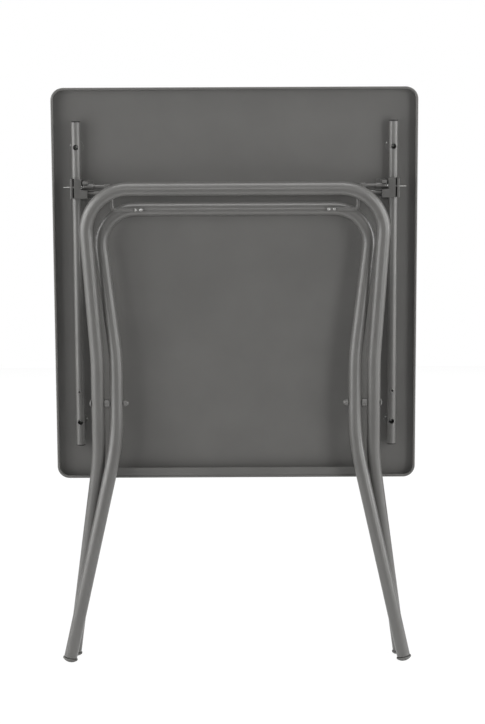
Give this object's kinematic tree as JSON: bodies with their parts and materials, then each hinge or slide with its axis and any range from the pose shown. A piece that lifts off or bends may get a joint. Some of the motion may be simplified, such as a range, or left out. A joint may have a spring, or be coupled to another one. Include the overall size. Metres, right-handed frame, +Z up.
{
  "type": "folding balcony table",
  "caption": "Folding balcony table with a pressed steel tray top, slide rails and crossed bent-tube leg frames, stored folded on its feet.",
  "frame": {"origin": "centre of the table's footprint on the floor, under the middle of its box, as it stands folded", "axes": "+X to the right seen from the legs' side, +Y from the legs towards the tabletop's upper face, +Z up"},
  "size_m": [0.6, 0.0972, 0.958],
  "materials": {
    "tray_coat": "satin powder coat",
    "tube_coat": "satin powder coat",
    "slider_coat": "satin powder coat over a zinc casting",
    "zinc_plate": "zinc plated",
    "cap_plastic": "fine moulded grain",
    "foot_plastic": "fine moulded grain",
    "liner_plastic": "smooth nylon"
  },
  "bodies": {
    "tabletop": {"tabletop_panel": "tray_coat", "edge_strip": "tray_coat", "left_rail": "tube_coat", "right_rail": "tube_coat", "left_hinge_hook": "tube_coat", "right_hinge_hook": "tube_coat", "rail_end_caps": "cap_plastic", "rail_standoffs": "tube_coat", "rail_screws": "zinc_plate", "stop_rivets": "tube_coat"},
    "left_slider": {"left_slider_clamp": "slider_coat", "left_slider_liner": "liner_plastic", "left_clamp_screw": "zinc_plate"},
    "right_slider": {"right_slider_clamp": "slider_coat", "right_slider_liner": "liner_plastic", "right_clamp_screw": "zinc_plate"},
    "inner_frame": {"inner_frame_tube": "tube_coat", "left_crank_rod": "tube_coat", "right_crank_rod": "tube_coat", "crank_rivets": "zinc_plate", "left_inner_foot": "foot_plastic", "right_inner_foot": "foot_plastic"},
    "outer_frame": {"outer_frame_tube": "tube_coat", "left_stub_axle": "tube_coat", "right_stub_axle": "tube_coat", "left_outer_foot": "foot_plastic", "right_outer_foot": "foot_plastic", "left_pivot_bolt": "tube_coat", "right_pivot_bolt": "tube_coat", "left_pivot_spacer": "tube_coat", "right_pivot_spacer": "tube_coat", "left_pivot_nut": "tube_coat", "right_pivot_nut": "tube_coat"}
  },
  "joints": [
    {"name": "left_slide", "type": "slide", "parent": "tabletop", "child": "left_slider", "axis": [0, 0.0436, -0.999], "range_m": [0, 0.31835]},
    {"name": "right_slide", "type": "slide", "parent": "tabletop", "child": "right_slider", "axis": [0, 0.0436, -0.999], "range_m": [0, 0.31835]},
    {"name": "fold", "type": "hinge", "parent": "left_slider", "child": "inner_frame", "pos_m": [-0.2508, -0.02219, 0.78739], "axis": [-1, 0, 0], "range_deg": [0, 118.04]},
    {"name": "frame_crossing", "type": "hinge", "parent": "inner_frame", "child": "outer_frame", "pos_m": [0, -0.00438, 0.43924], "axis": [-1, 0, 0], "range_deg": [-56.71, 0]}
  ],
  "couplings": [
    {"joint": "left_slide", "follows": "fold", "m_per_rad": 0.15453},
    {"joint": "right_slide", "follows": "fold", "m_per_rad": 0.15453},
    {"joint": "frame_crossing", "follows": "fold", "ratio": -0.48043}
  ]
}
